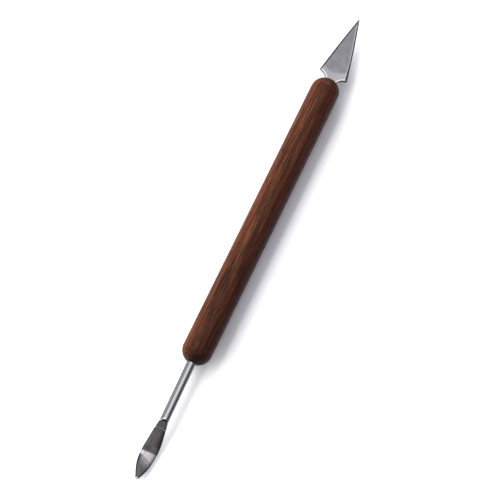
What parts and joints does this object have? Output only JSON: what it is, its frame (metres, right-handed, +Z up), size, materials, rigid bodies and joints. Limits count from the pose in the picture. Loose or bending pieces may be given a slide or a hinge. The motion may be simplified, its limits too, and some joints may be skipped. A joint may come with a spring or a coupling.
{
  "type": "double-ended modelling tool",
  "caption": "Hand tool for clay and wax: a round wooden handle with rounded ends, a flat spear blade at one end and a bowed leaf blade on a round shank at the other.",
  "frame": {"origin": "on the resting plane, below the middle of the whole tool", "axes": "+X along the tool towards the spear tip, +Z up, square to the flats of both blades, with the leaf's belly downwards"},
  "size_m": [0.1758, 0.0105, 0.01],
  "materials": {
    "turned_wood": "dark red-brown, fine straight grain, satin lacquer",
    "spear_steel": "fine ground plate with ground edges",
    "leaf_steel": "drawn round bar, ground leaf",
    "bedding_glue": "set dark glue"
  },
  "bodies": {
    "root": {"handle": "turned_wood", "spear_blade": "spear_steel", "leaf_blade": "leaf_steel", "spear_glue": "bedding_glue", "leaf_glue": "bedding_glue"}
  },
  "joints": []
}
